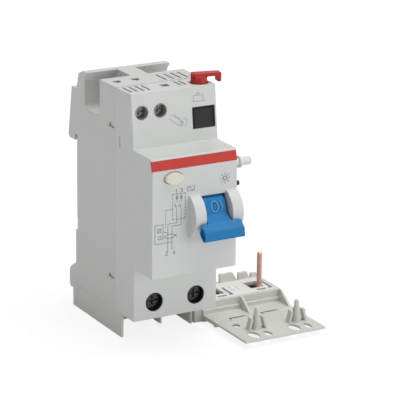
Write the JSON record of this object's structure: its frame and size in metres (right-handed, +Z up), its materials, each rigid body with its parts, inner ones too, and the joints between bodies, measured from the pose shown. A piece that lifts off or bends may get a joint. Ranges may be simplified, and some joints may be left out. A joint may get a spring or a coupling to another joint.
{
  "type": "residual current block",
  "caption": "Two-module residual current block: toggle, test button, sprung rail clip, locking lever and a side connection tray with prongs and a folding screw cover for a two-pole breaker.",
  "frame": {"origin": "centre of the seat on the DIN rail: on the rail's front plane, midway between its edges and in the middle of the housing's width", "axes": "+X to the viewer's right, along the rail and towards the breaker; +Y from the front to the rail; +Z up"},
  "size_m": [0.07, 0.0772, 0.0992],
  "materials": {
    "side_plastic": "satin",
    "front_plastic": "satin",
    "red_plastic": "satin",
    "blue_plastic": "satin",
    "cream_plastic": "satin",
    "black_plastic": "satin",
    "white_plastic": "satin",
    "tray_plastic": "satin",
    "steel": "brushed",
    "copper": "satin",
    "brass": "satin",
    "board": "satin",
    "tan": "matt"
  },
  "bodies": {
    "housing": {"rear_housing": "side_plastic", "front_cover": "front_plastic", "colour_band": "red_plastic", "window_plug": "black_plastic", "coding_peg": "black_plastic", "mechanism_frame": "steel", "trip_pivot": "steel", "latch_pivot": "steel", "latch_spring": "steel", "test_switch_base": "black_plastic", "test_contact": "brass", "test_resistor": "tan", "test_button_spring": "steel", "locking_lever_pin": "steel", "inner_carrier": "black_plastic", "control_board": "board", "board_capacitors": "black_plastic", "relay_yoke": "steel", "relay_coil": "copper", "relay_spring": "steel", "transformer_case": "black_plastic", "transformer_core": "steel", "transformer_winding": "copper", "sense_leads": "black_plastic", "left_conductor": "copper", "right_conductor": "copper", "left_prong": "copper", "right_prong": "copper", "aux_terminal_blocks": "brass", "rail_clip_spring": "steel", "connection_tray": "tray_plastic", "tray_cover": "white_plastic", "tray_screws": "steel", "flap_hinge_pin": "steel"},
    "toggle": {"toggle": "blue_plastic", "toggle_shaft": "steel", "toggle_cam": "steel", "toggle_spring": "steel"},
    "trip_lever": {"trip_lever": "steel", "link_pin": "white_plastic"},
    "latch_lever": {"latch_lever": "steel"},
    "relay_plunger": {"relay_plunger": "steel"},
    "test_button": {"test_button": "cream_plastic"},
    "locking_lever": {"locking_lever": "red_plastic"},
    "rail_clip": {"rail_clip": "tray_plastic"},
    "screw_flap": {"screw_flap": "tray_plastic"},
    "left_terminal_screw": {"left_terminal_screw": "steel"},
    "right_terminal_screw": {"right_terminal_screw": "steel"},
    "left_clamp_cage": {"left_clamp_cage": "steel"},
    "right_clamp_cage": {"right_clamp_cage": "steel"},
    "left_aux_screw": {"left_aux_screw": "steel"},
    "right_aux_screw": {"right_aux_screw": "steel"}
  },
  "joints": [
    {"name": "toggle_turn", "type": "hinge", "parent": "housing", "child": "toggle", "pos_m": [0.0075, -0.0552, 0], "axis": [-1, 0, 0], "range_deg": [0, 50]},
    {"name": "link_swing", "type": "hinge", "parent": "housing", "child": "trip_lever", "pos_m": [0.0152, -0.049, 0.0105], "axis": [-1, 0, 0], "range_deg": [0, 10]},
    {"name": "latch_swing", "type": "hinge", "parent": "housing", "child": "latch_lever", "pos_m": [-0.00035, -0.046, 0.004], "axis": [1, 0, 0], "range_deg": [0, 14.4], "deforming": ["latch_spring"]},
    {"name": "plunger_slide", "type": "slide", "parent": "housing", "child": "relay_plunger", "axis": [0, 0, 1], "range_m": [0, 0.0015], "stiffness_N_per_m": 200, "deforming": ["relay_spring"]},
    {"name": "test_button_press", "type": "slide", "parent": "housing", "child": "test_button", "axis": [0, 1, 0], "range_m": [0, 0.0012], "stiffness_N_per_m": 600, "deforming": ["test_button_spring"]},
    {"name": "locking_lever_turn", "type": "hinge", "parent": "housing", "child": "locking_lever", "pos_m": [0.0131, -0.039, 0.045], "axis": [0, 0, 1], "range_deg": [0, 85]},
    {"name": "rail_clip_slide", "type": "slide", "parent": "housing", "child": "rail_clip", "axis": [0, 0, -1], "range_m": [0, 0.004], "stiffness_N_per_m": 500, "deforming": ["rail_clip_spring"]},
    {"name": "flap_fold", "type": "hinge", "parent": "housing", "child": "screw_flap", "pos_m": [0.035, -0.0452, -0.0502], "axis": [-1, 0, 0], "range_deg": [0, 88]},
    {"name": "left_terminal_screw_turn", "type": "hinge", "parent": "housing", "child": "left_terminal_screw", "pos_m": [-0.00875, -0.044, -0.0363], "axis": [0, 1, 0], "range_deg": [0, 630]},
    {"name": "left_cage_slide", "type": "slide", "parent": "housing", "child": "left_clamp_cage", "axis": [0, -1, 0], "range_m": [0, 0.0026]},
    {"name": "right_terminal_screw_turn", "type": "hinge", "parent": "housing", "child": "right_terminal_screw", "pos_m": [0.00875, -0.044, -0.0363], "axis": [0, 1, 0], "range_deg": [0, 630]},
    {"name": "right_cage_slide", "type": "slide", "parent": "housing", "child": "right_clamp_cage", "axis": [0, -1, 0], "range_m": [0, 0.0026]},
    {"name": "left_aux_screw_turn", "type": "hinge", "parent": "housing", "child": "left_aux_screw", "pos_m": [-0.0133, -0.039, 0.0362], "axis": [0, 1, 0], "continuous": true},
    {"name": "right_aux_screw_turn", "type": "hinge", "parent": "housing", "child": "right_aux_screw", "pos_m": [-0.0057, -0.039, 0.0362], "axis": [0, 1, 0], "continuous": true}
  ],
  "couplings": [
    {"joint": "link_swing", "follows": "toggle_turn", "ratio": 0.2},
    {"joint": "latch_swing", "follows": "plunger_slide", "rad_per_m": 166.67},
    {"joint": "left_terminal_screw_turn", "follows": "left_cage_slide", "rad_per_m": 4220.6},
    {"joint": "right_terminal_screw_turn", "follows": "right_cage_slide", "rad_per_m": 4220.6}
  ]
}
